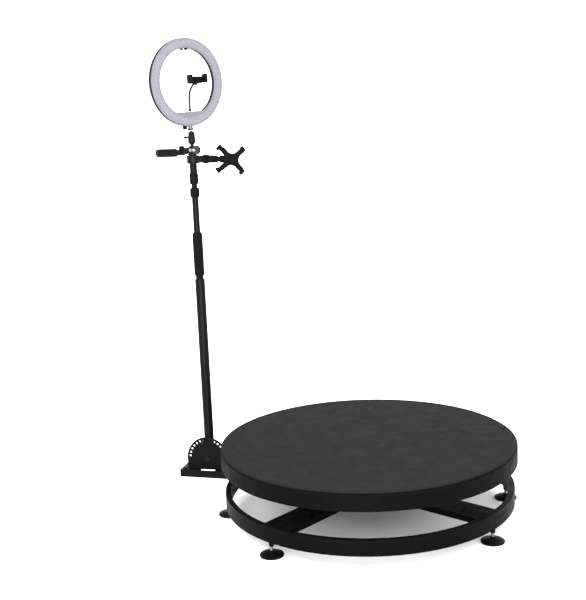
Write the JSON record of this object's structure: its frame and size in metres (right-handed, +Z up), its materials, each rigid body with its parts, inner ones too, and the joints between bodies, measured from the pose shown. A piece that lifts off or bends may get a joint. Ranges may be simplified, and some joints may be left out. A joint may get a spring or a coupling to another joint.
{
  "type": "rotating camera arm platform stand",
  "caption": "Round low platform on a ringed base with levelling feet and a travelling arm that carries a tilting telescopic mast, tablet holder and ring lamp.",
  "frame": {"origin": "the point on the floor on the axis that the arm turns about, under the middle of the platform", "axes": "+Z up along the arm's axis; -X points along the arm towards the mast at rest"},
  "size_m": [1.203, 1.002, 1.6118],
  "materials": {
    "base_paint": "satin black powder coat",
    "platform_paint": "fine-textured black powder coat",
    "mat_surface": "matte dark grey",
    "arm_paint": "satin black",
    "zinc": "zinc plated",
    "bearing_steel": "ground",
    "cast_aluminium": "machined",
    "belt_rubber": "matte black",
    "case_plastic": "fine texture",
    "mast_anodised": "satin black anodised",
    "black_plastic": "moulded",
    "foam": "closed-cell foam",
    "foot_black": "moulded black pad on a plated stud",
    "black_metal": "satin black",
    "circuit_board": "white solder mask",
    "diffuser": "milky translucent"
  },
  "bodies": {
    "base": {"base_ring": "base_paint", "cross_beams": "base_paint", "centre_post": "base_paint", "bearing_inner_races": "bearing_steel", "platform_pan": "platform_paint", "platform_mat": "mat_surface", "platform_frame": "base_paint", "platform_cover": "base_paint", "drive_motor": "cast_aluminium", "drive_belt": "belt_rubber", "control_box": "case_plastic", "power_inlet": "case_plastic"},
    "foot_1": {"foot_1": "foot_black"},
    "foot_2": {"foot_2": "foot_black"},
    "foot_3": {"foot_3": "foot_black"},
    "foot_4": {"foot_4": "foot_black"},
    "foot_5": {"foot_5": "foot_black"},
    "foot_6": {"foot_6": "foot_black"},
    "motor_rotor": {"motor_pulley": "bearing_steel"},
    "arm": {"arm_hub": "arm_paint", "hub_pulley": "cast_aluminium", "bearing_outer_races": "bearing_steel", "arm_beam": "arm_paint", "arm_tray": "arm_paint", "mast_bracket": "arm_paint", "pivot_bolt": "black_metal"},
    "index_pin": {"index_pin": "zinc"},
    "mast": {"mast_foot": "arm_paint", "lower_tube": "mast_anodised", "reducer_bush": "black_plastic", "foam_grip": "foam", "stage_1_tube": "mast_anodised"},
    "lower_collar": {"lower_collar": "black_plastic"},
    "stage_2": {"stage_2_tube": "mast_anodised"},
    "upper_collar": {"upper_collar": "black_plastic"},
    "stage_3": {"stage_3_tube": "mast_anodised"},
    "side_clamp": {"side_clamp": "black_metal"},
    "clamp_screw": {"clamp_screw": "black_plastic"},
    "side_collar": {"side_collar": "black_plastic"},
    "holder_link": {"holder_link": "black_plastic"},
    "holder": {"holder_plate": "black_plastic"},
    "claw_1": {"claw_1": "black_plastic"},
    "claw_2": {"claw_2": "black_plastic"},
    "claw_3": {"claw_3": "black_plastic"},
    "claw_4": {"claw_4": "black_plastic"},
    "pan_head": {"pan_head": "black_metal"},
    "tilt_knob": {"tilt_knob": "black_plastic"},
    "tilt_head": {"tilt_head": "black_metal", "handle_bar": "black_metal"},
    "handle_grip": {"handle_grip": "black_plastic"},
    "ball_head": {"ball_head": "black_metal"},
    "ball_knob": {"ball_knob": "black_plastic"},
    "lamp": {"ball_stud": "zinc", "lamp_shoe": "black_plastic", "lamp_housing": "black_plastic", "led_board": "circuit_board", "lamp_diffuser": "diffuser"},
    "gooseneck": {"gooseneck": "black_metal"},
    "phone_clamp": {"phone_clamp_body": "black_plastic"},
    "phone_jaw": {"phone_clamp_jaw": "black_plastic"}
  },
  "joints": [
    {"name": "foot_1_level", "type": "slide", "parent": "base", "child": "foot_1", "axis": [0, 0, -1], "range_m": [0, 0.015]},
    {"name": "foot_2_level", "type": "slide", "parent": "base", "child": "foot_2", "axis": [0, 0, -1], "range_m": [0, 0.015]},
    {"name": "foot_3_level", "type": "slide", "parent": "base", "child": "foot_3", "axis": [0, 0, -1], "range_m": [0, 0.015]},
    {"name": "foot_4_level", "type": "slide", "parent": "base", "child": "foot_4", "axis": [0, 0, -1], "range_m": [0, 0.015]},
    {"name": "foot_5_level", "type": "slide", "parent": "base", "child": "foot_5", "axis": [0, 0, -1], "range_m": [0, 0.015]},
    {"name": "foot_6_level", "type": "slide", "parent": "base", "child": "foot_6", "axis": [0, 0, -1], "range_m": [0, 0.015]},
    {"name": "arm_spin", "type": "hinge", "parent": "base", "child": "arm", "pos_m": [0, 0, 0.14], "axis": [0, 0, 1], "continuous": true},
    {"name": "motor_spin", "type": "hinge", "parent": "base", "child": "motor_rotor", "pos_m": [0.215, 0, 0.2], "axis": [0, 0, 1], "continuous": true},
    {"name": "index_pin_pull", "type": "slide", "parent": "arm", "child": "index_pin", "axis": [0, -1, 0], "range_m": [0, 0.02]},
    {"name": "mast_tilt", "type": "hinge", "parent": "arm", "child": "mast", "pos_m": [-0.573, 0, 0.162], "axis": [0, 1, 0], "range_deg": [-84, 24]},
    {"name": "lower_collar_twist", "type": "hinge", "parent": "mast", "child": "lower_collar", "pos_m": [-0.573, 0, 1.1], "axis": [0, 0, 1], "range_deg": [0, 60]},
    {"name": "stage_2_slide", "type": "slide", "parent": "mast", "child": "stage_2", "axis": [0, 0, 1], "range_m": [0, 0.3]},
    {"name": "upper_collar_twist", "type": "hinge", "parent": "stage_2", "child": "upper_collar", "pos_m": [-0.573, 0, 1.146], "axis": [0, 0, 1], "range_deg": [0, 60]},
    {"name": "stage_3_slide", "type": "slide", "parent": "stage_2", "child": "stage_3", "axis": [0, 0, 1], "range_m": [0, 0.3]},
    {"name": "side_clamp_swivel", "type": "hinge", "parent": "stage_3", "child": "side_clamp", "pos_m": [-0.573, 0, 1.211], "axis": [0, 0, 1], "range_deg": [-90, 90]},
    {"name": "clamp_screw_turn", "type": "hinge", "parent": "side_clamp", "child": "clamp_screw", "pos_m": [-0.573, 0.02, 1.211], "axis": [0, 1, 0], "range_deg": [0, 270]},
    {"name": "side_collar_turn", "type": "hinge", "parent": "side_clamp", "child": "side_collar", "pos_m": [-0.528, 0, 1.211], "axis": [1, 0, 0], "range_deg": [0, 180]},
    {"name": "holder_link_twist", "type": "hinge", "parent": "side_clamp", "child": "holder_link", "pos_m": [-0.517, 0, 1.211], "axis": [1, 0, 0], "range_deg": [-90, 90]},
    {"name": "holder_turn", "type": "hinge", "parent": "holder_link", "child": "holder", "pos_m": [-0.42805, 0, 1.20789], "axis": [0, -1, 0], "range_deg": [-90, 90]},
    {"name": "claw_1_slide", "type": "slide", "parent": "holder", "child": "claw_1", "axis": [0.8039, 0, 0.5948], "range_m": [0, 0.028], "stiffness_N_per_m": 60, "springref_m": -0.02},
    {"name": "claw_2_slide", "type": "slide", "parent": "holder", "child": "claw_2", "axis": [-0.6756, 0, 0.7373], "range_m": [0, 0.028], "stiffness_N_per_m": 60, "springref_m": -0.02},
    {"name": "claw_3_slide", "type": "slide", "parent": "holder", "child": "claw_3", "axis": [-0.8039, 0, -0.5948], "range_m": [0, 0.028], "stiffness_N_per_m": 60, "springref_m": -0.02},
    {"name": "claw_4_slide", "type": "slide", "parent": "holder", "child": "claw_4", "axis": [0.6756, 0, -0.7373], "range_m": [0, 0.028], "stiffness_N_per_m": 60, "springref_m": -0.02},
    {"name": "head_pan", "type": "hinge", "parent": "stage_3", "child": "pan_head", "pos_m": [-0.573, 0, 1.23], "axis": [0, 0, 1], "range_deg": [-90, 90]},
    {"name": "head_tilt", "type": "hinge", "parent": "pan_head", "child": "tilt_head", "pos_m": [-0.573, 0, 1.243], "axis": [0, 1, 0], "range_deg": [-4, 45]},
    {"name": "tilt_knob_turn", "type": "hinge", "parent": "pan_head", "child": "tilt_knob", "pos_m": [-0.55, -0.02, 1.243], "axis": [0, -1, 0], "range_deg": [0, 270]},
    {"name": "handle_lock_twist", "type": "hinge", "parent": "tilt_head", "child": "handle_grip", "pos_m": [-0.653, 0, 1.235], "axis": [1, 0, 0], "range_deg": [0, 90]},
    {"name": "ball_swivel", "type": "hinge", "parent": "tilt_head", "child": "ball_head", "pos_m": [-0.573, 0, 1.27], "axis": [0, 0, 1], "continuous": true},
    {"name": "ball_lock_turn", "type": "hinge", "parent": "ball_head", "child": "ball_knob", "pos_m": [-0.593, 0, 1.285], "axis": [1, 0, 0], "range_deg": [0, 180]},
    {"name": "lamp_tilt", "type": "hinge", "parent": "ball_head", "child": "lamp", "pos_m": [-0.573, 0, 1.299], "axis": [0.5441, 0.8378, 0.0454], "range_deg": [-25, 25]},
    {"name": "gooseneck_bend", "type": "hinge", "parent": "lamp", "child": "gooseneck", "pos_m": [-0.57403, 0.00391, 1.3714], "axis": [0.8387, -0.5446, 0], "range_deg": [-15, 15]},
    {"name": "phone_clamp_swivel", "type": "hinge", "parent": "gooseneck", "child": "phone_clamp", "pos_m": [-0.54196, -0.01831, 1.46324], "axis": [0.8387, -0.5446, 0], "range_deg": [-90, 90]},
    {"name": "phone_jaw_slide", "type": "slide", "parent": "phone_clamp", "child": "phone_jaw", "axis": [0.5441, 0.8378, 0.0454], "range_m": [0, 0.025], "stiffness_N_per_m": 100, "springref_m": -0.02}
  ],
  "couplings": [
    {"joint": "motor_spin", "follows": "arm_spin", "ratio": 5}
  ]
}
